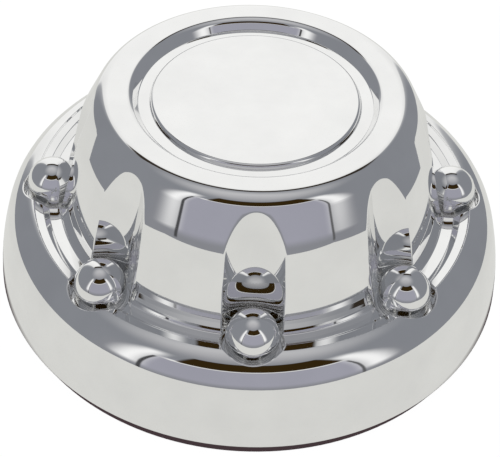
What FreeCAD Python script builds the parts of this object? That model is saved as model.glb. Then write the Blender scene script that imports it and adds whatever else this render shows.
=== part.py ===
import FreeCAD, Part
import math
import os

os.makedirs("parts", exist_ok=True)

# Driving sizes in millimetres, z = 0 at the seating edge; every radius steps in from the rim
wall = 2.6
lug_count = 8
rim_r = 105.5
rim_z = 7.0
deck_z = 43.25
lip_z = 93.9

# Skirt and shoulder
seat_tuck = 3.2
skirt_lean = 0.72
skirt_mid_share = 0.46
skirt_sweep_share = 0.806
shoulder_in = 6.4
shoulder_drop = 1.6
shoulder_share = 0.945
deck_in = 15.9
deck_lip_run = 0.4
deck_lip_rise = 0.6

# Land, channel and ledge round the foot of the dome
land_width = 3.3
channel_slope = 2.3
channel_depth = 2.65
channel_width = 5.0
ledge_slope = 1.4
ledge_rise = 1.65
ledge_width = 3.25
foot_rise = 2.05

# Dome, lip, recess and centre disk
dome_lean = 2.55
dome_drop = 15.4
dome_share = 0.459
dome_top_in = 11.8
lip_share = 0.209
lip_width = 11.8
recess_slope = 2.9
recess_depth = 3.9
gutter_width = 3.7
disk_slope = 0.7
disk_rise = 1.7

# Lug pockets, cones about the studs, and the domed lug covers that stand in them
lug_stand = 8.2
pocket_r = 12.3
pocket_draft = 7.92
pocket_depth = 6.25
cover_r = 8.6
cover_centre_rise = 2.35
cover_step = 0.3
cover_rim_drop = 1.0

# Places that follow from the driving sizes
land_outer_r = rim_r - deck_in
land_inner_r = land_outer_r - land_width
channel_outer_r = land_inner_r - channel_slope
channel_inner_r = channel_outer_r - channel_width
ledge_r = channel_inner_r - ledge_slope
foot_r = ledge_r - ledge_width
dome_r = foot_r - dome_lean
dome_top_r = dome_r - dome_top_in
lip_inner_r = dome_top_r - lip_width
recess_r = lip_inner_r - recess_slope
disk_foot_r = recess_r - gutter_width
disk_r = disk_foot_r - disk_slope
channel_z = deck_z - channel_depth
recess_z = lip_z - recess_depth
disk_z = recess_z + disk_rise
bolt_circle_r = foot_r + lug_stand
pocket_floor_z = deck_z - pocket_depth
cover_centre_z = deck_z + cover_centre_rise
cover_rim_z = cover_centre_z - cover_rim_drop
above_z = lip_z + 10.0


def flow(corners, k, share):
    """Rounding whose run takes a share of the shorter side at corner k."""
    corner = FreeCAD.Vector(corners[k][0], corners[k][1], 0)
    before = FreeCAD.Vector(corners[k - 1][0], corners[k - 1][1], 0) - corner
    after = FreeCAD.Vector(corners[k + 1][0], corners[k + 1][1], 0) - corner
    run = share * min(before.Length, after.Length)
    return run * math.tan(before.getAngle(after) / 2)


def outer_vertices():
    """Corners of the show side from the seating edge to the axis: radius, height, rounding."""
    corners = [
        [rim_r - seat_tuck, 0.0, 0.0],
        [rim_r, rim_z, 0.8],
        [rim_r - skirt_lean, skirt_mid_share * deck_z, 0.0],
        [rim_r - shoulder_in, deck_z - shoulder_drop, 0.0],
        [land_outer_r + deck_lip_run, deck_z + deck_lip_rise, 0.25],
        [land_outer_r, deck_z, 0.15],
        [land_inner_r, deck_z, 0.8],
        [channel_outer_r, channel_z, 0.6],
        [channel_inner_r, channel_z, 0.7],
        [ledge_r, deck_z + ledge_rise, 1.5],
        [foot_r, deck_z + foot_rise, 1.4],
        [dome_r, lip_z - dome_drop, 0.0],
        [dome_top_r, lip_z, 0.0],
        [lip_inner_r, lip_z, 1.5],
        [recess_r, recess_z, 0.7],
        [disk_foot_r, recess_z, 0.3],
        [disk_r, disk_z, 1.0],
        [0.0, disk_z, 0.0],
    ]
    shares = [(2, skirt_sweep_share), (3, shoulder_share), (11, dome_share), (12, lip_share)]
    for k, share in shares:
        corners[k][2] = flow(corners, k, share)
    return corners


def inner_vertices():
    """Corners of the hidden side, one wall inside the show side with the small steps run together."""
    show = outer_vertices()
    under = channel_z - wall
    return [
        (show[0][0] - wall, 0.0, 0.0),
        (rim_r - wall, rim_z + 0.1, 1.0),
        (show[2][0] - wall, show[2][1] - 0.3, show[2][2] - wall),
        (show[3][0] - 2.1, show[3][1] - 2.3, show[3][2] - wall),
        (show[4][0] - 1.8, show[4][1] - 2.4, 0.4),
        (channel_outer_r + 1.2, under, 0.5),
        (channel_inner_r - 1.9, under, 0.5),
        (ledge_r - 2.0, show[9][1] - wall, 0.5),
        (foot_r - wall + 0.1, show[10][1] - wall, 1.0),
        (dome_r - 2.53, show[11][1] - 0.97, show[11][2] - wall),
        (dome_top_r - 1.28, lip_z - wall, show[12][2] - wall),
        (lip_inner_r + 1.3, lip_z - wall, 0.5),
        (recess_r + 1.3, recess_z - wall, 1.0),
        (disk_foot_r - 2.4, recess_z - wall, 0.4),
        (disk_r - 2.5, disk_z - wall, 0.6),
        (0.0, disk_z - wall, 0.0),
    ]


def rounded_path(corners):
    """Edges of a path in the XZ plane whose corners carry the given roundings."""
    edges = []
    here = FreeCAD.Vector(corners[0][0], 0, corners[0][1])
    for k in range(1, len(corners) - 1):
        before = FreeCAD.Vector(corners[k - 1][0], 0, corners[k - 1][1])
        corner = FreeCAD.Vector(corners[k][0], 0, corners[k][1])
        after = FreeCAD.Vector(corners[k + 1][0], 0, corners[k + 1][1])
        to_before = (before - corner).normalize()
        to_after = (after - corner).normalize()
        half = to_before.getAngle(to_after) / 2
        run = corners[k][2] / math.tan(half)
        start = corner + to_before * run
        stop = corner + to_after * run
        bisector = (to_before + to_after).normalize()
        middle = corner + bisector * (corners[k][2] / math.sin(half) - corners[k][2])
        edges.append(Part.makeLine(here, start))
        edges.append(Part.Arc(start, middle, stop).toShape())
        here = stop
    last = FreeCAD.Vector(corners[-1][0], 0, corners[-1][1])
    edges.append(Part.makeLine(here, last))
    return edges


def turned_body(corners, bottom_z):
    """Solid turned about +Z from the path, closed down to bottom_z under its first corner."""
    edges = rounded_path(corners)
    start = FreeCAD.Vector(corners[0][0], 0, corners[0][1])
    end = FreeCAD.Vector(corners[-1][0], 0, corners[-1][1])
    low_axis = FreeCAD.Vector(0, 0, bottom_z)
    edges.append(Part.makeLine(end, low_axis))
    if bottom_z < corners[0][1]:
        low = FreeCAD.Vector(corners[0][0], 0, bottom_z)
        edges.append(Part.makeLine(low_axis, low))
        edges.append(Part.makeLine(low, start))
    else:
        edges.append(Part.makeLine(low_axis, start))
    face = Part.Face(Part.Wire(edges))
    body = face.revolve(FreeCAD.Vector(0, 0, 0), FreeCAD.Vector(0, 0, 1), 360)
    body.rotate(FreeCAD.Vector(0, 0, 0), FreeCAD.Vector(0, 0, 1), 180.0 / lug_count)
    return body


def pocket_cone(grow):
    """Cone about the stud on -Y that widens upwards, grown by a wall thickness on every side."""
    slope = math.tan(math.radians(pocket_draft))
    side = grow / math.cos(math.radians(pocket_draft))
    low_z = pocket_floor_z - grow
    low_r = pocket_r + slope * (low_z - deck_z) + side
    high_r = pocket_r + slope * (above_z - deck_z) + side
    return Part.makeCone(low_r, high_r, above_z - low_z, FreeCAD.Vector(0, -bolt_circle_r, low_z))


def lug_cover(inset):
    """Domed cover on a short post at the lug on -Y, drawn in from its show side by inset."""
    place = FreeCAD.Vector(0, -bolt_circle_r, 0)
    base_z = pocket_floor_z - wall - inset
    post_r = cover_r + cover_step - inset
    post = Part.makeCylinder(post_r, cover_rim_z - base_z - inset, place + FreeCAD.Vector(0, 0, base_z))
    ball = Part.makeSphere(cover_r - inset, place + FreeCAD.Vector(0, 0, cover_centre_z))
    tall = Part.makeCylinder(cover_r, above_z, place + FreeCAD.Vector(0, 0, cover_rim_z - inset - 1.0))
    return post.fuse(ball.common(tall))


def around(shape):
    """Copies of a shape at every lug."""
    copies = []
    for k in range(lug_count):
        turned = shape.copy()
        turned.rotate(FreeCAD.Vector(0, 0, 0), FreeCAD.Vector(0, 0, 1), 360.0 * k / lug_count)
        copies.append(turned)
    return copies


def build_cap():
    """Thin moulded cap: show side less hidden side."""
    show = turned_body(outer_vertices(), 0.0)
    show = show.cut(around(pocket_cone(0.0)))
    show = show.fuse(around(lug_cover(0.0)))
    hidden = turned_body(inner_vertices(), -5.0)
    hidden = hidden.cut(around(pocket_cone(wall)))
    hidden = hidden.fuse(around(lug_cover(wall)))
    return show.cut(hidden).Solids[0]


cap = build_cap()
cap.exportStep("parts/center_cap.step")
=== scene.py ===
import logging
import math
from dataclasses import dataclass, field
from enum import Enum
from typing import Callable, List, NamedTuple, Optional, Sequence, Tuple, Union

import bmesh
import bpy
import numpy as np
from mathutils import Matrix, Vector


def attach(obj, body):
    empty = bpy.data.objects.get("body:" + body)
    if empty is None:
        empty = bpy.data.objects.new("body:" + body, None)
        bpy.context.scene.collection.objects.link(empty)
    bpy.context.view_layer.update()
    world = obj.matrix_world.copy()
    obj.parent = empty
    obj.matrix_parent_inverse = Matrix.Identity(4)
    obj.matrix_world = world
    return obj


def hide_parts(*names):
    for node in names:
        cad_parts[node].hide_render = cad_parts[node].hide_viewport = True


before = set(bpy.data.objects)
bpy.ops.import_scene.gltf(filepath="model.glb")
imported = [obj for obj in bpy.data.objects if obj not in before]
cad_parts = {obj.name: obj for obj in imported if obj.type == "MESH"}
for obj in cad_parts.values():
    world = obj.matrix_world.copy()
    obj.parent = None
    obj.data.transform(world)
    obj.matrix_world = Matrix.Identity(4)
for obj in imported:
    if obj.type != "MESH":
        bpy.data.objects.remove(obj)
LOG = logging.getLogger("center_cap")
MM = 0.001
TINY = 1e-6
HALVINGS = 60
DEGREES = math.degrees(1.0)
MIRROR_BOUNCES = 24
Colour = Tuple[float, float, float]
Spot = Tuple[float, float, float]


class Face(Enum):
    """The two faces of the moulded wall, with the sign of their outward side."""

    SHOW = 1
    HIDDEN = -1


# Profile

class Corner(NamedTuple):
    """A corner of a turned profile, in millimetres."""

    radius: float
    height: float
    rounding: float = 0.0

    def moved(self, out: float, up: float, rounding: float) -> "Corner":
        """Return a corner out and up from this one, with a rounding of its own."""
        return Corner(self.radius + out, self.height + up, rounding)


class PathPoint(NamedTuple):
    """A point of a turned profile, with the radial and upward parts of its outward direction."""

    radius: float
    height: float
    out: float
    rise: float


@dataclass(frozen=True)
class Straight:
    """A straight length of a turned profile."""

    start: np.ndarray
    way: np.ndarray
    length: float

    def at(self, t: float) -> PathPoint:
        """Return the point at a length t from the start."""
        spot = self.start + self.way * t
        return PathPoint(spot[0], spot[1], self.way[1], -self.way[0])

    def steps(self, step: float, turn: float) -> int:
        """Count the steps it needs, none longer than step; turn matters only on a bend."""
        return max(1, math.ceil(self.length / step))


@dataclass(frozen=True)
class Bend:
    """A corner rounding of a turned profile: an arc from one angle through a signed turn."""

    middle: np.ndarray
    rounding: float
    first: float
    turn: float

    @property
    def length(self) -> float:
        """The arc's length."""
        return abs(self.turn) * self.rounding

    def at(self, t: float) -> PathPoint:
        """Read the arc.

        Args:
            t: Length from the arc's start.

        Returns:
            The point there.
        """
        angle = self.first + math.copysign(t / self.rounding, self.turn)
        out = np.array((math.cos(angle), math.sin(angle)))
        spot = self.middle + out * self.rounding
        outward = out * math.copysign(1.0, self.turn)
        return PathPoint(spot[0], spot[1], outward[0], outward[1])

    def steps(self, step: float, turn: float) -> int:
        """Count the steps it needs, none longer than step or turning by more than turn degrees."""
        return max(2, math.ceil(self.length / step), math.ceil(math.degrees(abs(self.turn)) / turn))


class TurnedPath:
    """A rounded polyline in (radius, height) that can be read at any length along it."""

    def __init__(self, corners: Sequence[Corner]) -> None:
        """Turn corners with roundings into straight and curved lengths.

        Args:
            corners: The corners in order, from one end of the path to the other.
        """
        self.lengths: List[float] = [0.0]
        self.parts: List[Union[Straight, Bend]] = []
        spots = [np.array((corner.radius, corner.height)) for corner in corners]
        here = spots[0]
        for k in range(1, len(spots) - 1):
            before = self._unit(spots[k - 1] - spots[k])
            after = self._unit(spots[k + 1] - spots[k])
            half = math.acos(float(np.clip(before @ after, -1.0, 1.0))) / 2
            rounding = corners[k].rounding
            run = rounding / math.tan(half)
            start, end = spots[k] + before * run, spots[k] + after * run
            self._add_line(here, start)
            if rounding > 0:
                middle = spots[k] + self._unit(before + after) * rounding / math.sin(half)
                self._add_arc(middle, start, end, rounding)
            here = end
        self._add_line(here, spots[-1])

    @staticmethod
    def _unit(vector: np.ndarray) -> np.ndarray:
        """Return the vector at length one."""
        return vector / np.linalg.norm(vector)

    def _add(self, part: Union[Straight, Bend]) -> None:
        """Add a part at the path's end."""
        self.parts.append(part)
        self.lengths.append(self.lengths[-1] + part.length)

    def _add_line(self, start: np.ndarray, end: np.ndarray) -> None:
        """Add a straight length, unless its ends meet.

        Args:
            start: First point.
            end: Last point.
        """
        size = float(np.linalg.norm(end - start))
        if size > TINY:
            self._add(Straight(start, (end - start) / size, size))

    def _add_arc(self, middle: np.ndarray, start: np.ndarray, end: np.ndarray, rounding: float) -> None:
        """Add a corner rounding.

        Args:
            middle: The arc's middle.
            start: First point.
            end: Last point.
            rounding: The arc's radius.
        """
        first = math.atan2(*(start - middle)[::-1])
        last = math.atan2(*(end - middle)[::-1])
        turn = (last - first + math.pi) % (2 * math.pi) - math.pi
        self._add(Bend(middle, rounding, first, turn))

    @property
    def total(self) -> float:
        """The whole length of the path."""
        return self.lengths[-1]

    def at(self, s: float) -> PathPoint:
        """Read the path.

        Args:
            s: Length along the path, in millimetres.

        Returns:
            The point there.
        """
        s = min(max(s, 0.0), self.total)
        k = min(int(np.searchsorted(self.lengths, s, side="right")) - 1, len(self.parts) - 1)
        return self.parts[k].at(s - self.lengths[k])

    def marks(self, step: float, turn: float) -> List[float]:
        """Choose lengths that follow the shape.

        Args:
            step: Longest step, in millimetres.
            turn: Largest turn between neighbours on a rounding, in degrees.

        Returns:
            Lengths along the path, from its start to its end.
        """
        found = [0.0]
        for start, part in zip(self.lengths, self.parts):
            count = part.steps(step, turn)
            found += [start + part.length * j / count for j in range(1, count + 1)]
        return found

    def where(self, measure: Callable[[PathPoint], float], low: float, high: float) -> float:
        """Find the length at which a measure of the path's point is nought.

        Args:
            measure: Function of a point of the path, with one change of sign in the range.
            low: Length on one side of the change.
            high: Length on its other side.

        Returns:
            The length along the path.
        """
        rising = measure(self.at(high)) > measure(self.at(low))
        for _ in range(HALVINGS):
            middle = (low + high) / 2
            if (measure(self.at(middle)) < 0) == rising:
                low = middle
            else:
                high = middle
        return (low + high) / 2


@dataclass(frozen=True)
class CapSection:
    """The section that the cap is turned from, by the corners of its show side."""

    wall: float = 2.6
    seat: Corner = Corner(102.3, 0.0, 0.25)
    rim: Corner = Corner(105.5, 7.0, 0.8)
    skirt: Corner = Corner(104.7, 19.9, 104.0)
    shoulder: Corner = Corner(99.1, 41.65, 14.8)
    deck_edge: Corner = Corner(90.0, 43.85, 0.25)
    land_outer: Corner = Corner(89.6, 43.25, 0.15)
    land_inner: Corner = Corner(86.3, 42.65, 0.8)
    channel_outer: Corner = Corner(84.0, 40.5, 0.6)
    channel_inner: Corner = Corner(79.2, 40.2, 0.7)
    dome_foot: Corner = Corner(78.0, 44.6, 1.0)
    dome_waist: Corner = Corner(70.4, 76.6, 31.0)
    lip_outer: Corner = Corner(61.8, 93.9, 8.5)
    lip_inner: Corner = Corner(49.3, 93.9, 4.0)
    recess: Corner = Corner(46.2, 90.0, 0.7)
    disk_foot: Corner = Corner(41.6, 90.0, 0.3)
    disk: Corner = Corner(40.9, 91.7, 1.5)

    def show(self) -> List[Corner]:
        """List the corners of the show side.

        Returns:
            The corners from the seating edge to the axis.
        """
        return [
            self.seat, self.rim, self.skirt, self.shoulder, self.deck_edge, self.land_outer,
            self.land_inner, self.channel_outer, self.channel_inner, self.dome_foot, self.dome_waist,
            self.lip_outer, self.lip_inner, self.recess, self.disk_foot, self.disk,
            Corner(0.0, self.disk.height),
        ]

    def hidden(self) -> List[Corner]:
        """List the corners of the wheel side: one wall in, with the small steps run together.

        Each corner's move out and up keeps its two sides about a wall apart.

        Returns:
            The corners from the axis to the seating edge.
        """
        wall = self.wall
        return [
            Corner(0.0, self.disk.height - wall),
            self.disk.moved(-2.5, -wall, 0.6),
            self.disk_foot.moved(-2.4, -wall, 0.4),
            self.recess.moved(0.4, -wall, 1.0),
            self.lip_inner.moved(0.2, -wall, 0.5),
            self.lip_outer.moved(-1.6, -wall, self.lip_outer.rounding - wall),
            self.dome_waist.moved(-wall, -0.8, self.dome_waist.rounding - wall),
            self.dome_foot.moved(-wall, -0.8, 0.8),
            self.channel_inner.moved(-2.4, -2.2, 0.5),
            self.channel_outer.moved(1.2, -2.5, 0.5),
            self.deck_edge.moved(-1.8, -2.4, 0.4),
            self.shoulder.moved(-2.1, -2.3, self.shoulder.rounding - wall),
            self.skirt.moved(-wall, -0.3, self.skirt.rounding - wall),
            self.rim.moved(-wall, 0.1, 1.0),
            self.seat.moved(-wall, 0.0, self.seat.rounding),
        ]


# Mesh of one sector

@dataclass
class SectorMesh:
    """Points, their outward directions and faces of half a sector, in millimetres."""

    points: List[Spot] = field(default_factory=list)
    ways: List[Spot] = field(default_factory=list)
    faces: List[Tuple[int, ...]] = field(default_factory=list)
    hidden: List[bool] = field(default_factory=list)

    def add(self, spot: Sequence[float], way: Sequence[float]) -> int:
        """Add a point.

        Args:
            spot: The point's place.
            way: Its outward direction, of any length.

        Returns:
            The point's number.
        """
        size = math.sqrt(sum(v * v for v in way)) or 1.0
        self.points.append(tuple(float(v) for v in spot))
        self.ways.append(tuple(float(v) / size for v in way))
        return len(self.points) - 1

    def skin(self, first: Sequence[int], second: Sequence[int], hidden: bool) -> None:
        """Join two equal rows of points with four-sided faces.

        Args:
            first: Point numbers of one row.
            second: Point numbers of the next row.
            hidden: Whether the faces are on the wheel side of the wall.
        """
        for k in range(len(first) - 1):
            self.faces.append((first[k], first[k + 1], second[k + 1], second[k]))
            self.hidden.append(hidden)

    def mirrored(self) -> "SectorMesh":
        """Complete the sector.

        Returns:
            This half and its mirror image across the pocket's middle.
        """
        size = len(self.points)
        whole = SectorMesh(list(self.points), list(self.ways), list(self.faces), list(self.hidden))
        whole.points += [(-x, y, z) for x, y, z in self.points]
        whole.ways += [(-x, y, z) for x, y, z in self.ways]
        whole.faces += [tuple(k + size for k in reversed(face)) for face in self.faces]
        whole.hidden += self.hidden
        return whole


@dataclass(frozen=True)
class WallDetail:
    """How finely one face of the wall is meshed, and the small roundings of its pockets.

    Steps and roundings are in millimetres, turns in degrees.
    """

    step: float
    turn: float
    end_rows: int
    mouth_round: float
    floor_round: float
    cover_step: float
    cover_turn: float


@dataclass(frozen=True)
class LugCover:
    """The domed cover over one wheel stud, on its short post; sizes of its show side."""

    radius: float = 10.1
    post_radius: float = 10.2
    rim_height: float = 44.5
    top_height: float = 54.8
    foot_run: float = 0.5
    foot_round: float = 0.3
    rim_round: float = 0.25
    step_in: float = 0.06
    step_rise: float = 0.15
    step_round: float = 0.1
    crown_ease: float = 0.08

    def corners(self, floor_z: float, inset: float) -> List[Corner]:
        """List the corners of the cover's own turned profile.

        Args:
            floor_z: Height of the pocket's floor.
            inset: How far the face lies inside the show side.

        Returns:
            The corners from the floor beside the post to the top of the dome.
        """
        post, dome, top = self.post_radius - inset, self.radius - inset, self.top_height - inset
        return [
            Corner(post + self.foot_run, floor_z),
            Corner(post, floor_z, self.foot_round),
            Corner(post, self.rim_height, self.rim_round),
            Corner(dome - self.step_in, self.rim_height + self.step_rise, self.step_round),
            Corner(dome, top, dome - self.crown_ease),
            Corner(0.0, top),
        ]


class PocketEnds(NamedTuple):
    """Profile lengths where a pocket's rounding and its sharp edge begin and end."""

    first_touch: float
    first_edge: float
    last_edge: float
    last_touch: float


@dataclass
class LugPocket:
    """A conical pocket about one wheel stud, with the round cover that stands in it."""

    face: Face
    at: float
    radius: float
    radius_z: float
    draft: float
    floor_z: float
    detail: WallDetail
    cover: Sequence[Corner]
    mouth_steps: int = 4
    wall_steps: int = 3
    floor_steps: int = 3
    ease_leads: int = 6

    @property
    def hidden(self) -> bool:
        """Whether the pocket is seen from the wheel side."""
        return self.face is Face.HIDDEN

    def radius_at(self, z: float) -> float:
        """Return the cone's radius at a height."""
        return self.radius + math.tan(self.draft) * (z - self.radius_z)

    def opening(self, radius: float, z: float, extra: float = 0.0) -> float:
        """Find where a circle about the wheel's axis meets the pocket's edge.

        Args:
            radius: Radius of the circle.
            z: Height of the circle.
            extra: Width added to the pocket all round.

        Returns:
            Angle from the pocket's middle, in radians.
        """
        pocket = self.radius_at(z) + extra
        along = (radius ** 2 + self.at ** 2 - pocket ** 2) / (2 * self.at)
        return math.acos(min(1.0, along / radius))

    def overshoot(self, point: PathPoint, extra: float) -> float:
        """Return how far a profile point in the pocket's middle plane lies outside the pocket."""
        return abs(point.radius - self.at) - self.radius_at(point.height) - extra

    def outward(self, x: float, y: float) -> Tuple[float, float]:
        """Return the unit direction from the stud's axis to a point in plan."""
        size = math.hypot(x, y - self.at) or 1.0
        return x / size, (y - self.at) / size

    def on_wall(self, way: Tuple[float, float], z: float) -> np.ndarray:
        """Return the point of the pocket's wall in a direction and at a height."""
        radius = self.radius_at(z)
        return np.array((way[0] * radius, self.at + way[1] * radius, z))

    def wall_way(self, way: Tuple[float, float], lean: float) -> np.ndarray:
        """Return the outward direction of the pocket's side where it leans by an angle."""
        flat = math.cos(lean)
        return np.array((-way[0] * flat, -way[1] * flat, math.sin(lean))) * self.face.value

    def ends(self, path: TurnedPath, low: float, high: float) -> PocketEnds:
        """Find where the pocket cuts the profile.

        Args:
            path: The turned profile.
            low: Length before the pocket, on the pocket's face of the wall.
            high: Length after it.

        Returns:
            The profile lengths at which the pocket begins and ends.
        """
        def edge(extra: float, start: float, stop: float) -> float:
            """Return where the profile meets the pocket widened by extra."""
            return path.where(lambda point: self.overshoot(point, extra), start, stop)

        middle = path.where(lambda point: point.radius - self.at, low, high)
        wide = self.detail.mouth_round
        return PocketEnds(
            edge(wide, low, middle), edge(0.0, low, middle), edge(0.0, middle, high), edge(wide, middle, high)
        )

    def sink(
        self,
        mesh: SectorMesh,
        path: TurnedPath,
        edge: Sequence[int],
        marks: Sequence[float],
        ends: PocketEnds,
    ) -> None:
        """Build the pocket below its mouth and the cover in it.

        Args:
            mesh: The half sector being built.
            path: The turned profile that the pocket is sunk into.
            edge: Point numbers along the line where the mouth's rounding starts.
            marks: Profile length of each of those points.
            ends: Profile lengths at which the pocket begins and ends.
        """
        sharp = [self._sharp_edge(path, s, ends) for s in marks]
        ways = [self.outward(x, y) for x, y, _ in sharp]
        rows: List[List[int]] = [list(edge)]
        rows += self._mouth_rows(mesh, edge, sharp, ways)
        rows += self._wall_rows(mesh, sharp, ways)
        rows += self._floor_rows(mesh, ways)
        for first, second in zip(rows, rows[1:]):
            mesh.skin(first, second, self.hidden)
        self._add_cover(mesh, rows[-1])

    def _sharp_edge(self, path: TurnedPath, s: float, ends: PocketEnds) -> Spot:
        """Find the sharp edge's point that goes with a point where the rounding starts.

        The sharp edge is the shorter of the two lines, so its points close up near both ends.

        Args:
            path: The turned profile.
            s: Profile length of the point where the rounding starts.
            ends: Profile lengths at which the pocket begins and ends.

        Returns:
            The sharp edge's point.
        """
        lead, tail = abs(ends.first_edge - ends.first_touch), abs(ends.last_touch - ends.last_edge)
        from_first, from_last = s - ends.first_touch, ends.last_touch - s
        kept = 1 - 1 / self.ease_leads
        if from_first < self.ease_leads * lead:
            s = ends.first_edge + from_first * kept
        elif from_last < self.ease_leads * tail:
            s = ends.last_edge - from_last * kept
        point = path.at(s)
        angle = self.opening(point.radius, point.height)
        if abs(s - ends.first_edge) < TINY or abs(s - ends.last_edge) < TINY:
            angle = 0.0
        return point.radius * math.sin(angle), point.radius * math.cos(angle), point.height

    def _mouth_rows(
        self,
        mesh: SectorMesh,
        edge: Sequence[int],
        sharp: Sequence[Spot],
        ways: Sequence[Tuple[float, float]],
    ) -> List[List[int]]:
        """Round the mouth over from the turned face to the pocket's wall.

        Args:
            mesh: The half sector being built.
            edge: Point numbers along the line where the rounding starts.
            sharp: The sharp edge's point for each of them.
            ways: Direction in plan from the stud's axis for each of them.

        Returns:
            Point numbers of the new rows.
        """
        rows = []
        for k in range(1, self.mouth_steps + 1):
            t = k / self.mouth_steps
            row = []
            for number, spot, way in zip(edge, sharp, ways):
                start = np.array(mesh.points[number])
                stop = self.on_wall(way, spot[2] - self.detail.mouth_round)
                place = start * (1 - t) ** 2 + np.array(spot) * 2 * t * (1 - t) + stop * t ** 2
                turned = self._turn(np.array(mesh.ways[number]), self.wall_way(way, self.draft), t)
                row.append(mesh.add(place, turned))
            rows.append(row)
        return rows

    def _wall_rows(
        self, mesh: SectorMesh, sharp: Sequence[Spot], ways: Sequence[Tuple[float, float]]
    ) -> List[List[int]]:
        """Run the pocket's wall down to the rounding of its floor.

        Args:
            mesh: The half sector being built.
            sharp: Points of the mouth's sharp edge.
            ways: Direction in plan from the stud's axis for each of them.

        Returns:
            Point numbers of the new rows.
        """
        foot = self.floor_z + self.detail.floor_round * (1 - math.sin(self.draft))
        rows = []
        for k in range(1, self.wall_steps + 1):
            row = []
            for spot, way in zip(sharp, ways):
                top = spot[2] - self.detail.mouth_round
                place = self.on_wall(way, top + (foot - top) * k / self.wall_steps)
                row.append(mesh.add(place, self.wall_way(way, self.draft)))
            rows.append(row)
        return rows

    def _floor_rows(self, mesh: SectorMesh, ways: Sequence[Tuple[float, float]]) -> List[List[int]]:
        """Round the pocket's wall into its floor.

        Args:
            mesh: The half sector being built.
            ways: Directions in plan from the stud's axis.

        Returns:
            Point numbers of the new rows.
        """
        rounding = self.detail.floor_round
        hub = self.radius_at(self.floor_z + rounding) - rounding / math.cos(self.draft)
        rows = []
        for k in range(1, self.floor_steps + 1):
            angle = self.draft + (math.pi / 2 - self.draft) * k / self.floor_steps
            radius = hub + rounding * math.cos(angle)
            z = self.floor_z + rounding * (1 - math.sin(angle))
            row = []
            for way in ways:
                place = (way[0] * radius, self.at + way[1] * radius, z)
                row.append(mesh.add(place, self.wall_way(way, angle)))
            rows.append(row)
        return rows

    @staticmethod
    def _turn(start: np.ndarray, stop: np.ndarray, t: float) -> np.ndarray:
        """Turn one direction towards another.

        Args:
            start: First direction, of length one.
            stop: Second direction, of length one.
            t: Share of the angle between them.

        Returns:
            The turned direction, of any length.
        """
        angle = math.acos(float(np.clip(start @ stop, -1.0, 1.0)))
        if angle < 100 * TINY:
            return start
        return start * math.sin((1 - t) * angle) + stop * math.sin(t * angle)

    def _add_cover(self, mesh: SectorMesh, ring: Sequence[int]) -> None:
        """Run the floor in to the round cover and close the cover over its top.

        Args:
            mesh: The half sector being built.
            ring: Point numbers where the floor's rounding ends.
        """
        outline = TurnedPath(self.cover)
        angles = []
        for number in ring:
            x, y, _ = mesh.points[number]
            angles.append(math.atan2(x, y - self.at))
        sign = self.face.value
        last = list(ring)
        for s in outline.marks(self.detail.cover_step, self.detail.cover_turn):
            point = outline.at(s)
            row = []
            for angle in angles:
                across, along = math.sin(angle), math.cos(angle)
                spot = (point.radius * across, self.at + point.radius * along, point.height)
                way = (point.out * across * sign, point.out * along * sign, point.rise * sign)
                row.append(mesh.add(spot, way))
            mesh.skin(last, row, self.hidden)
            last = row


class PocketCut(NamedTuple):
    """A pocket and the profile lengths at which it begins and ends."""

    pocket: LugPocket
    ends: PocketEnds


# Shared node work

Value = Union[bpy.types.NodeSocket, float]
Tint = Union[bpy.types.NodeSocket, Colour]


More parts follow.
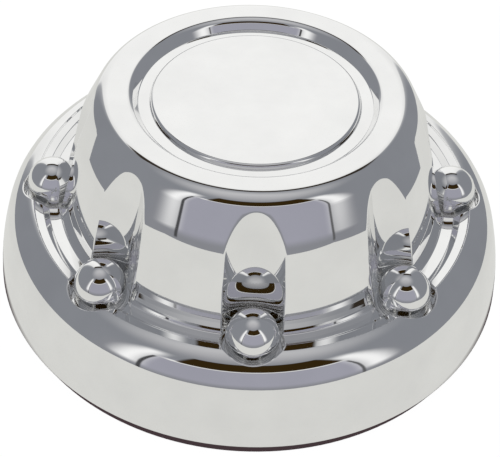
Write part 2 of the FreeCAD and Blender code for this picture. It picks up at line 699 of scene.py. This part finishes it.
@dataclass
class NodeSheet:
    """A node tree with short ways to add what the ring, the finishes and the studio share."""

    tree: bpy.types.NodeTree

    def add(self, kind: str, **settings: str) -> bpy.types.Node:
        """Add a node.

        Args:
            kind: The node's type.
            **settings: Properties of the node to set.

        Returns:
            The node.
        """
        node = self.tree.nodes.new(kind)
        for name, value in settings.items():
            setattr(node, name, value)
        return node

    def link(self, source: bpy.types.NodeSocket, target: bpy.types.NodeSocket) -> None:
        """Link an output to an input."""
        self.tree.links.new(source, target)

    def maths(self, kind: str, first: Value, second: Optional[Value] = None) -> bpy.types.NodeSocket:
        """Add a sum of one or two values.

        Args:
            kind: The operation.
            first: Socket or number.
            second: Socket or number, where the operation takes two.

        Returns:
            The result's socket.
        """
        node = self.add("ShaderNodeMath", operation=kind)
        for target, value in zip(node.inputs, (first, second)):
            if isinstance(value, bpy.types.NodeSocket):
                self.link(value, target)
            elif value is not None:
                target.default_value = value
        return node.outputs[0]

    def blend(self, share: bpy.types.NodeSocket, first: Tint, second: Tint) -> bpy.types.NodeSocket:
        """Add a mix of two colours.

        Args:
            share: How much of the second colour shows.
            first: Socket or colour.
            second: Socket or colour.

        Returns:
            The mixed colour's socket.
        """
        mix = self.add("ShaderNodeMix", data_type="RGBA")
        self.link(share, mix.inputs["Factor"])
        for name, colour in (("A", first), ("B", second)):
            if isinstance(colour, bpy.types.NodeSocket):
                self.link(colour, mix.inputs[name])
            else:
                mix.inputs[name].default_value = (*colour, 1)
        return mix.outputs["Result"]

    def scale(
        self,
        value: bpy.types.NodeSocket,
        given: Tuple[float, float],
        wanted: Tuple[float, float] = (0.0, 1.0),
        kind: str = "LINEAR",
    ) -> bpy.types.NodeSocket:
        """Add a change of range.

        Args:
            value: The value's socket.
            given: The range that is read.
            wanted: The range it is turned into.
            kind: How the steps between are spaced.

        Returns:
            The result's socket.
        """
        ramp = self.add("ShaderNodeMapRange", interpolation_type=kind)
        for name, number in zip(("From Min", "From Max", "To Min", "To Max"), (*given, *wanted)):
            ramp.inputs[name].default_value = number
        self.link(value, ramp.inputs["Value"])
        return ramp.outputs["Result"]

    def band(self, value: bpy.types.NodeSocket, low: float, high: float, soft: float) -> bpy.types.NodeSocket:
        """Add a soft-edged band.

        Args:
            value: The value's socket.
            low: Where the band begins.
            high: Where it ends.
            soft: Width of its edges.

        Returns:
            Socket that is 1 in the band and 0 outside it.
        """
        half = soft / 2
        rising = self.scale(value, (low - half, low + half), kind="SMOOTHSTEP")
        falling = self.scale(value, (high - half, high + half), (1.0, 0.0), "SMOOTHSTEP")
        return self.maths("MULTIPLY", rising, falling)

    def choose(self, share: Value, first: bpy.types.Node, second: bpy.types.Node) -> bpy.types.Node:
        """Add a mix of two shaders.

        Args:
            share: How much of the second shader shows, as a socket or a number.
            first: Shader node.
            second: Shader node.

        Returns:
            The mix.
        """
        mix = self.add("ShaderNodeMixShader")
        if isinstance(share, bpy.types.NodeSocket):
            self.link(share, mix.inputs[0])
        else:
            mix.inputs[0].default_value = share
        self.link(first.outputs[0], mix.inputs[1])
        self.link(second.outputs[0], mix.inputs[2])
        return mix

    def camera_ray(self) -> bpy.types.NodeSocket:
        """Add the test for what the camera sees directly."""
        return self.add("ShaderNodeLightPath").outputs["Is Camera Ray"]


# Finishes

@dataclass(frozen=True)
class PlatedFinish:
    """Bright plating with a faint cloudiness in its colour and polish."""

    name: str
    light: Colour
    dark: Colour
    polish: Tuple[float, float]
    cloud_scale: float
    cloud_detail: float = 5.0
    cloud_range: Tuple[float, float] = (0.3, 0.7)

    def make(self) -> bpy.types.Material:
        """Make the finish.

        Returns:
            The material.
        """
        material = bpy.data.materials.new(self.name)
        material.use_nodes = True
        sheet = NodeSheet(material.node_tree)
        shader = material.node_tree.nodes["Principled BSDF"]
        shader.inputs["Metallic"].default_value = 1.0
        cloud = sheet.add("ShaderNodeTexNoise")
        cloud.inputs["Scale"].default_value = self.cloud_scale
        cloud.inputs["Detail"].default_value = self.cloud_detail
        sheet.link(sheet.add("ShaderNodeTexCoord").outputs["Object"], cloud.inputs["Vector"])
        haze = cloud.outputs["Fac"]
        sheet.link(sheet.blend(haze, self.dark, self.light), shader.inputs["Base Color"])
        sheet.link(sheet.scale(haze, self.cloud_range, self.polish), shader.inputs["Roughness"])
        return material


@dataclass(frozen=True)
class FloorFinish:
    """Pale studio floor that the camera sees as white with the cap's soft shadow, and whose reflections carry
    a painted dark contact shadow round the cap's edge.
    """

    name: str = "pale_floor"
    pale: Colour = (0.79, 0.79, 0.76)
    pale_strength: float = 1.0
    pale_glow: float = 0.85
    white: Colour = (1.0, 1.0, 1.0)
    white_strength: float = 1.12
    white_glow: float = 0.86
    # Painted contact shadow: the dark colour that the floor takes in the plating's reflections near the
    # seating edge, in place of the shade under the cap
    painted_contact_shadow: Colour = (0.06, 0.04, 0.045)
    painted_shadow_reach: Tuple[float, float] = (0.1075, 0.1105)

    def make(self) -> bpy.types.Material:
        """Make the finish.

        Returns:
            The material, which mirrors show pale, with a painted contact shadow as a dark ring under the
            cap's edge.
        """
        material = bpy.data.materials.new(self.name)
        material.use_nodes = True
        sheet = NodeSheet(material.node_tree)
        material.node_tree.nodes.clear()
        seen = self._coat(sheet, self.white, self.white_strength, self.white_glow)
        open_floor = self._coat(sheet, self.pale, self.pale_strength, self.pale_glow)
        # Painted shadow: in reflections the floor turns this dark colour inside a ring round the cap's
        # seating edge
        under = sheet.add("ShaderNodeEmission")
        under.inputs["Color"].default_value = (*self.painted_contact_shadow, 1)
        mirrored = sheet.choose(self._reach(sheet), under, open_floor)
        shown = sheet.choose(sheet.camera_ray(), mirrored, seen)
        sheet.link(shown.outputs[0], sheet.add("ShaderNodeOutputMaterial").inputs["Surface"])
        return material

    def _reach(self, sheet: NodeSheet) -> bpy.types.NodeSocket:
        """Measure how far a floor point is out of the painted contact shadow under the cap's edge.

        Args:
            sheet: Nodes of the finish.

        Returns:
            Socket that rises from 0 at the seating edge to 1 on the open floor.
        """
        distance = sheet.add("ShaderNodeVectorMath", operation="LENGTH")
        sheet.link(sheet.add("ShaderNodeTexCoord").outputs["Object"], distance.inputs[0])
        return sheet.scale(distance.outputs["Value"], self.painted_shadow_reach)

    @staticmethod
    def _coat(sheet: NodeSheet, lit: Colour, strength: float, glow: float) -> bpy.types.Node:
        """Mix a lit coat with a share of its own even light.

        Args:
            sheet: Nodes of the finish.
            lit: Colour of the coat.
            strength: Strength of its own light.
            glow: Share of that light.

        Returns:
            The mix.
        """
        matt = sheet.add("ShaderNodeBsdfDiffuse")
        matt.inputs["Color"].default_value = (*lit, 1)
        even = sheet.add("ShaderNodeEmission")
        even.inputs["Color"].default_value = (*lit, 1)
        even.inputs["Strength"].default_value = strength
        return sheet.choose(glow, matt, even)


# The one-piece cap

@dataclass
class SectorRing:
    """Geometry Nodes that repeat one sector round the wheel's axis."""

    count: int
    join_distance: float = 4e-6

    def repeat(self, piece: bpy.types.Object, finishes: Sequence[bpy.types.Material]) -> None:
        """Replace the piece's sector by the whole ring as a plain mesh.

        Args:
            piece: Object whose mesh is one sector.
            finishes: Material of the show face and of the wheel-side face.
        """
        tree = self._tree(finishes)
        modifier = piece.modifiers.new("ring", "NODES")
        modifier.node_group = tree
        sizes = {"Count": self.count, "Join Distance": self.join_distance}
        for item in tree.interface.items_tree:
            if item.item_type == "SOCKET" and item.in_out == "INPUT" and item.name in sizes:
                modifier[item.identifier] = sizes[item.name]
        graph = bpy.context.evaluated_depsgraph_get()
        whole = bpy.data.meshes.new_from_object(piece.evaluated_get(graph))
        sector = piece.data
        piece.modifiers.clear()
        piece.data = whole
        bpy.data.meshes.remove(sector)
        whole.name = piece.name

    @staticmethod
    def _tree(finishes: Sequence[bpy.types.Material]) -> bpy.types.NodeTree:
        """Build the node tree with its named inputs.

        Args:
            finishes: Material of the show face and of the wheel-side face.

        Returns:
            The tree: copies round the axis, joined and dressed.
        """
        tree = bpy.data.node_groups.new("sector_ring", "GeometryNodeTree")
        face = tree.interface
        face.new_socket("Geometry", in_out="INPUT", socket_type="NodeSocketGeometry")
        face.new_socket("Count", in_out="INPUT", socket_type="NodeSocketInt")
        face.new_socket("Join Distance", in_out="INPUT", socket_type="NodeSocketFloat")
        face.new_socket("Geometry", in_out="OUTPUT", socket_type="NodeSocketGeometry")
        sheet = NodeSheet(tree)
        given, result = sheet.add("NodeGroupInput"), sheet.add("NodeGroupOutput")
        spots = sheet.add("GeometryNodePoints")
        sheet.link(given.outputs["Count"], spots.inputs["Count"])
        share = sheet.maths("DIVIDE", 2 * math.pi, given.outputs["Count"])
        turn = sheet.maths("MULTIPLY", sheet.add("GeometryNodeInputIndex").outputs[0], share)
        axis = sheet.add("ShaderNodeCombineXYZ")
        sheet.link(turn, axis.inputs["Z"])
        copies = sheet.add("GeometryNodeInstanceOnPoints")
        sheet.link(spots.outputs[0], copies.inputs["Points"])
        sheet.link(given.outputs["Geometry"], copies.inputs["Instance"])
        sheet.link(axis.outputs[0], copies.inputs["Rotation"])
        real = sheet.add("GeometryNodeRealizeInstances")
        sheet.link(copies.outputs[0], real.inputs[0])
        joined = sheet.add("GeometryNodeMergeByDistance")
        sheet.link(real.outputs[0], joined.inputs["Geometry"])
        sheet.link(given.outputs["Join Distance"], joined.inputs["Distance"])
        plated = sheet.add("GeometryNodeSetMaterial")
        plated.inputs["Material"].default_value = finishes[0]
        sheet.link(joined.outputs[0], plated.inputs["Geometry"])
        inner = sheet.add("GeometryNodeSetMaterial")
        inner.inputs["Material"].default_value = finishes[1]
        chosen = sheet.add("GeometryNodeInputNamedAttribute", data_type="BOOLEAN")
        chosen.inputs["Name"].default_value = "wheel_side"
        sheet.link(plated.outputs[0], inner.inputs["Geometry"])
        sheet.link(chosen.outputs["Attribute"], inner.inputs["Selection"])
        sheet.link(inner.outputs[0], result.inputs["Geometry"])
        return tree


@dataclass
class CenterCap:
    """The plated one-piece cap: a stepped turned shell with a ring of stud pockets.

    Lengths are in millimetres and angles in degrees. The profile runs along the wheel side from
    the axis to the seating edge, and back to the axis along the show side.
    """

    section: CapSection = field(default_factory=CapSection)
    cover: LugCover = field(default_factory=LugCover)
    lug_count: int = 8
    stud_radius: float = 82.55
    pocket_radius: float = 12.3
    pocket_draft: float = 7.92
    pocket_floor: float = 37.0
    show: WallDetail = WallDetail(
        step=3.4, turn=12.0, end_rows=6, mouth_round=0.8, floor_round=0.4, cover_step=3.0, cover_turn=10.0
    )
    hidden: WallDetail = WallDetail(
        step=12.0, turn=45.0, end_rows=4, mouth_round=0.5, floor_round=1.0, cover_step=8.0, cover_turn=30.0
    )
    columns: int = 10
    end_span: float = 3.2
    row_gap: float = 0.25
    seat_width: float = 3.0
    hidden_clear: float = 12.0
    show_clear: float = 9.0
    plating: PlatedFinish = PlatedFinish(
        name="chrome_plating",
        light=(0.96, 0.96, 0.955),
        dark=(0.83, 0.83, 0.83),
        polish=(0.015, 0.035),
        cloud_scale=60.0,
    )
    inside: PlatedFinish = PlatedFinish(
        name="inner_plating",
        light=(0.72, 0.72, 0.72),
        dark=(0.62, 0.62, 0.62),
        polish=(0.22, 0.32),
        cloud_scale=45.0,
    )

    def build(self, name: str) -> bpy.types.Object:
        """Build the cap as one closed mesh and dress it.

        Args:
            name: Name of the piece.

        Returns:
            The finished piece at the origin.
        """
        sector = self._half_sector().mirrored()
        mesh = bpy.data.meshes.new(name + "_sector")
        mesh.from_pydata([[v * MM for v in (x, -y, z)] for x, y, z in sector.points], [], sector.faces)
        self._store_ways(mesh, sector)
        piece = bpy.data.objects.new(name, mesh)
        bpy.context.scene.collection.objects.link(piece)
        SectorRing(self.lug_count).repeat(piece, self.dress())
        self._set_normals(piece.data)
        return piece

    def dress(self) -> List[bpy.types.Material]:
        """Make the finishes of the show face and of the wheel-side face."""
        return [self.plating.make(), self.inside.make()]

    def _half_sector(self) -> SectorMesh:
        """Build half a sector: both turned faces, the seating edge and one half pocket.

        Returns:
            The half sector, with the pocket's middle on the y axis.
        """
        hidden, show = self.section.hidden(), self.section.show()
        path = TurnedPath([*hidden, *show])
        seat = TurnedPath([*hidden, show[0]]).total
        show_pocket, hidden_pocket = self._pocket(Face.SHOW), self._pocket(Face.HIDDEN)
        cuts = [
            PocketCut(hidden_pocket, hidden_pocket.ends(path, 0.0, seat - self.hidden_clear)),
            PocketCut(show_pocket, show_pocket.ends(path, seat + self.show_clear, path.total)),
        ]
        show_from = seat - self.seat_width
        marks = self._row_marks(path, cuts, show_from)
        mesh = SectorMesh()
        rows = [self._add_row(mesh, path, s, cuts) for s in marks]
        for k in range(len(rows) - 1):
            mesh.skin(rows[k], rows[k + 1], marks[k] < show_from)
        for pocket, ends in cuts:
            low, high = ends.first_touch - TINY, ends.last_touch + TINY
            inside = [k for k, s in enumerate(marks) if low <= s <= high]
            edge = [rows[k][0] for k in inside]
            pocket.sink(mesh, path, edge, [marks[k] for k in inside], ends)
        return mesh

    def _pocket(self, face: Face) -> LugPocket:
        """Size the pocket for one face of the wall.

        Args:
            face: The face of the wall.

        Returns:
            The pocket, a wall thickness larger on the wheel side.
        """
        grow = 0.0 if face is Face.SHOW else self.section.wall
        floor = self.pocket_floor - grow
        draft = math.radians(self.pocket_draft)
        return LugPocket(
            face=face,
            at=self.stud_radius,
            radius=self.pocket_radius + grow / math.cos(draft),
            radius_z=self.section.land_outer.height,
            draft=draft,
            floor_z=floor,
            detail=self.show if face is Face.SHOW else self.hidden,
            cover=self.cover.corners(floor, grow),
        )

    def _row_marks(self, path: TurnedPath, cuts: Sequence[PocketCut], show_from: float) -> List[float]:
        """Choose the profile lengths of all rows, closer together at the pockets' ends.

        Args:
            path: The turned profile.
            cuts: The pockets in it.
            show_from: Profile length from which the show face's detail holds.

        Returns:
            The lengths in order.
        """
        fine = [s for s in path.marks(self.show.step, self.show.turn) if s >= show_from]
        coarse = [s for s in path.marks(self.hidden.step, self.hidden.turn) if s < show_from]
        fixed = []
        for pocket, ends in cuts:
            count = pocket.detail.end_rows
            for end, way in ((ends.first_touch, 1), (ends.last_touch, -1)):
                fixed += [end + way * self.end_span * (k / count) ** 2 for k in range(count + 1)]
        clear = [s for s in coarse + fine if min(abs(s - f) for f in fixed) > self.row_gap]
        return sorted(fixed + clear)

    def _add_row(self, mesh: SectorMesh, path: TurnedPath, s: float, cuts: Sequence[PocketCut]) -> List[int]:
        """Add the points of one turned row, from the pocket's edge to the sector's side.

        Args:
            mesh: The half sector being built.
            path: The turned profile.
            s: Profile length of the row.
            cuts: The pockets in the profile.

        Returns:
            Point numbers of the row.
        """
        point = path.at(s)
        start = 0.0
        for pocket, ends in cuts:
            if ends.first_touch + TINY < s < ends.last_touch - TINY:
                start = pocket.opening(point.radius, point.height, pocket.detail.mouth_round)
        stop = math.pi / self.lug_count
        row = []
        for k in range(self.columns + 1):
            angle = start + (stop - start) * k / self.columns
            across, along = math.sin(angle), math.cos(angle)
            spot = (point.radius * across, point.radius * along, point.height)
            row.append(mesh.add(spot, (point.out * across, point.out * along, point.rise)))
        return row

    @staticmethod
    def _store_ways(mesh: bpy.types.Mesh, sector: SectorMesh) -> None:
        """Store outward directions as round, radial and upward parts, and the wheel-side faces.

        Args:
            mesh: Mesh of the sector.
            sector: The sector it was made from.
        """
        ways = mesh.attributes.new("way", "FLOAT_VECTOR", "POINT")
        parts = []
        for (x, y, _), (nx, ny, nz) in zip(sector.points, sector.ways):
            size = math.hypot(x, y) or 1.0
            across, along = x / size, y / size
            parts += [nx * along - ny * across, nx * across + ny * along, nz]
        ways.data.foreach_set("vector", parts)
        hidden = mesh.attributes.new("wheel_side", "BOOLEAN", "FACE")
        hidden.data.foreach_set("value", sector.hidden)

    @staticmethod
    def _set_normals(mesh: bpy.types.Mesh) -> None:
        """Turn the faces outwards and give each point its true outward direction.

        Args:
            mesh: Mesh of the whole cap, with the stored directions.
        """
        work = bmesh.new()
        work.from_mesh(mesh)
        bmesh.ops.recalc_face_normals(work, faces=work.faces)
        work.to_mesh(mesh)
        work.free()
        count = len(mesh.vertices)
        spots, ways = np.zeros(count * 3), np.zeros(count * 3)
        mesh.vertices.foreach_get("co", spots)
        mesh.attributes["way"].data.foreach_get("vector", ways)
        spots, ways = spots.reshape(-1, 3), ways.reshape(-1, 3)
        size = np.maximum(np.hypot(spots[:, 0], spots[:, 1]), TINY * MM)
        across, along = spots[:, 0] / size, -spots[:, 1] / size
        nx = ways[:, 0] * along + ways[:, 1] * across
        ny = -ways[:, 0] * across + ways[:, 1] * along
        normals = np.stack([nx, -ny, ways[:, 2]], -1)
        normals /= np.maximum(np.linalg.norm(normals, axis=1), TINY * MM)[:, None]
        mesh.polygons.foreach_set("use_smooth", [True] * len(mesh.polygons))
        mesh.normals_split_custom_set_from_vertices([tuple(n) for n in normals])
        mesh.update()


# Studio

class Bearing(Enum):
    """Where a panel's angle round the cap is counted from."""

    FRONT = "front"
    BACK = "back"
    ABOVE = "above"


@dataclass(frozen=True)
class Panel:
    """One soft-edged zone of the studio that the plating mirrors.

    Angles are in degrees: round to the right of the bearing, and up from the horizon; for a
    panel above, to the right of straight up and towards the front of it.
    """

    bearing: Bearing
    round_low: float
    round_high: float
    up_low: float
    up_high: float
    colour: Colour
    soft_round: float
    soft_up: float


# Bright sheet behind the cap, with a hard and then a soft edge
BACK_SHEET = (
    Panel(Bearing.BACK, -34, 25, -50, 51, (0.78, 0.78, 0.775), 3, 3),
    Panel(Bearing.BACK, -30, 22, -50, 51, (0.96, 0.96, 0.95), 26, 24),
)
# Grey sheet in front, with a bright strip and a dark gap on each side
FRONT_SHEET = (
    Panel(Bearing.FRONT, -62, 64, -30, 46, (0.26, 0.265, 0.29), 10, 6),
    Panel(Bearing.FRONT, -43, 46, 0, 46, (0.36, 0.36, 0.42), 1.5, 14),
    Panel(Bearing.FRONT, -55, -44, 4, 56, (0.98, 0.98, 0.98), 11, 12),
    Panel(Bearing.FRONT, 47, 59, 4, 56, (0.98, 0.98, 0.98), 11, 12),
    Panel(Bearing.FRONT, -44.5, -42.6, -8, 42, (0.07, 0.07, 0.075), 1, 4),
    Panel(Bearing.FRONT, 45.6, 47, -8, 40, (0.12, 0.12, 0.125), 1, 4),
)
# Bright line along the top of the front sheet, and the dark brown zones over it
DARK_ZONES = (
    Panel(Bearing.FRONT, -40, 46, 42.4, 46, (0.85, 0.85, 0.84), 8, 1.2),
    Panel(Bearing.FRONT, -34, 46, 44.2, 64, (0.033, 0.019, 0.005), 4, 1.5),
    Panel(Bearing.ABOVE, -24, 24, -38, -30, (0.035, 0.027, 0.02), 5, 1.5),
)


@dataclass
class Studio:
    """Floor, camera and the surrounding light of the photograph's kind.

    The floor's reach is in metres, the camera's distance in millimetres, its angles in degrees,
    and its focal length, shift and principal point in pixels of the photograph's frame.
    """

    floor_left: float = 0.36
    floor_right: float = 0.31
    floor_front: float = 0.335
    floor_back: float = 0.60
    floor_drop: float = 1e-5
    side: Colour = (0.245, 0.255, 0.28)
    overhead_front: Colour = (0.30, 0.30, 0.325)
    overhead_back: Colour = (0.66, 0.66, 0.67)
    overhead_rise: Tuple[float, float] = (55.0, 82.0)
    overhead_depth: Tuple[float, float] = (-0.7, 0.7)
    panels: Sequence[Panel] = (*BACK_SHEET, *FRONT_SHEET, *DARK_ZONES)
    focal_px: float = 1373.36
    distance: float = 601.31
    elevation: float = 45.34
    roll: float = 2.88
    shift: Tuple[float, float] = (-2.3, 32.29)
    principal: Tuple[float, float] = (-42.2, -71.52)
    azimuth: float = -2.17
    frame_width: float = 500.0
    sensor: float = 36.0
    clip: Tuple[float, float] = (0.01, 50.0)

    def build(self) -> List[bpy.types.Object]:
        """Build the world, the floor and the camera.

        Returns:
            The stage objects.
        """
        self._light()
        self._camera()
        return [self._floor(FloorFinish().make())]

    def _floor(self, finish: bpy.types.Material) -> bpy.types.Object:
        """Lay the pale floor under the cap.

        Args:
            finish: The floor's material.

        Returns:
            The floor.
        """
        left, right, front, rear = -self.floor_left, self.floor_right, -self.floor_front, self.floor_back
        plan = ((left, front), (right, front), (right, rear), (left, rear))
        mesh = bpy.data.meshes.new("floor")
        mesh.from_pydata([(x, y, -self.floor_drop) for x, y in plan], [], [(0, 1, 2, 3)])
        mesh.materials.append(finish)
        floor = bpy.data.objects.new("floor", mesh)
        bpy.context.scene.collection.objects.link(floor)
        return floor

    def _light(self) -> None:
        """Paint the surrounding studio by direction, with plain white for the camera itself."""
        world = bpy.data.worlds.new("studio")
        bpy.context.scene.world = world
        world.use_nodes = True
        world.node_tree.nodes.clear()
        sheet = NodeSheet(world.node_tree)
        mirrored = sheet.add("ShaderNodeBackground")
        sheet.link(self._surroundings(sheet), mirrored.inputs["Color"])
        plain = sheet.add("ShaderNodeBackground")
        plain.inputs["Color"].default_value = (1, 1, 1, 1)
        shown = sheet.choose(sheet.camera_ray(), mirrored, plain)
        sheet.link(shown.outputs[0], sheet.add("ShaderNodeOutputWorld").inputs["Surface"])

    def _surroundings(self, sheet: NodeSheet) -> bpy.types.NodeSocket:
        """Colour the sides, the overhead and the panels.

        Args:
            sheet: Nodes of the world.

        Returns:
            Socket of the colour in the direction that is looked at.
        """
        def angle(kind: str, first: Value, second: Optional[Value] = None) -> bpy.types.NodeSocket:
            """Return the socket of an angle in degrees."""
            return sheet.maths("MULTIPLY", sheet.maths(kind, first, second), DEGREES)

        split = sheet.add("ShaderNodeSeparateXYZ")
        sheet.link(sheet.add("ShaderNodeTexCoord").outputs["Generated"], split.inputs[0])
        right, back, top = (split.outputs[name] for name in "XYZ")
        front = sheet.maths("MULTIPLY", back, -1.0)
        up = angle("ARCSINE", top)
        places = {
            Bearing.FRONT: (angle("ARCTAN2", right, front), up),
            Bearing.BACK: (angle("ARCTAN2", right, back), up),
            Bearing.ABOVE: (angle("ARCTAN2", right, top), angle("ARCTAN2", front, top)),
        }
        depth = sheet.scale(back, self.overhead_depth, kind="SMOOTHSTEP")
        above = sheet.scale(up, self.overhead_rise, kind="SMOOTHSTEP")
        overhead = sheet.blend(depth, self.overhead_front, self.overhead_back)
        colour = sheet.blend(above, self.side, overhead)
        for panel in self.panels:
            turn, rise = places[panel.bearing]
            across = sheet.band(turn, panel.round_low, panel.round_high, panel.soft_round)
            along = sheet.band(rise, panel.up_low, panel.up_high, panel.soft_up)
            colour = sheet.blend(sheet.maths("MULTIPLY", across, along), colour, panel.colour)
        return colour

    def _camera(self) -> None:
        """Stand the camera where the photograph was taken from.

        The cap's axis is aimed at first. The lens axis then goes to the principal point, and the
        shift puts the cap where the photograph has it.
        """
        rise, roll = math.radians(self.elevation), math.radians(self.roll)
        back = Vector((0, -math.cos(rise), math.sin(rise)))
        spot = back * self.distance
        right = Vector((1, 0, 0))
        up = right.cross(-back)
        axis = (-back * self.focal_px + right * self.principal[0] - up * self.principal[1]).normalized()
        side = axis.cross(up).normalized()
        top = side.cross(axis)
        aim_across = self.focal_px * back.dot(side) / back.dot(axis)
        aim_down = -self.focal_px * back.dot(top) / back.dot(axis)
        flat, tilt = math.cos(roll), math.sin(roll)
        turned_side = side * flat + top * tilt
        turned_top = top * flat - side * tilt
        off_across = self.shift[0] - flat * aim_across + tilt * aim_down
        off_down = self.shift[1] - tilt * aim_across - flat * aim_down
        data = bpy.data.cameras.new("camera")
        data.sensor_width = self.sensor
        data.lens = self.focal_px / self.frame_width * self.sensor
        data.shift_x = -off_across / self.frame_width
        data.shift_y = off_down / self.frame_width
        data.clip_start, data.clip_end = self.clip
        camera = bpy.data.objects.new("camera", data)
        bpy.context.scene.collection.objects.link(camera)
        basis = Matrix((turned_side, turned_top, -axis)).transposed().to_4x4()
        place = Matrix.Translation(spot * MM) @ basis
        camera.matrix_world = Matrix.Rotation(math.radians(self.azimuth), 4, "Z") @ place
        bpy.context.scene.camera = camera


def main() -> None:
    """Build and dress the cap and set the studio up."""
    logging.basicConfig(level=logging.INFO, format="%(name)s: %(message)s")
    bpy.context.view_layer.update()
    cap = CenterCap().build("cap_moulding")
    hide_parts("center_cap")
    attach(cap, "root")
    LOG.info("%s: %d faces", cap.name, len(cap.data.polygons))
    for item in Studio().build():
        LOG.info("stage: %s", item.name)
    scene = bpy.context.scene
    scene.cycles.max_bounces = MIRROR_BOUNCES
    scene.cycles.glossy_bounces = MIRROR_BOUNCES
    scene.view_settings.view_transform = "Standard"


if __name__ == "__main__":
    main()
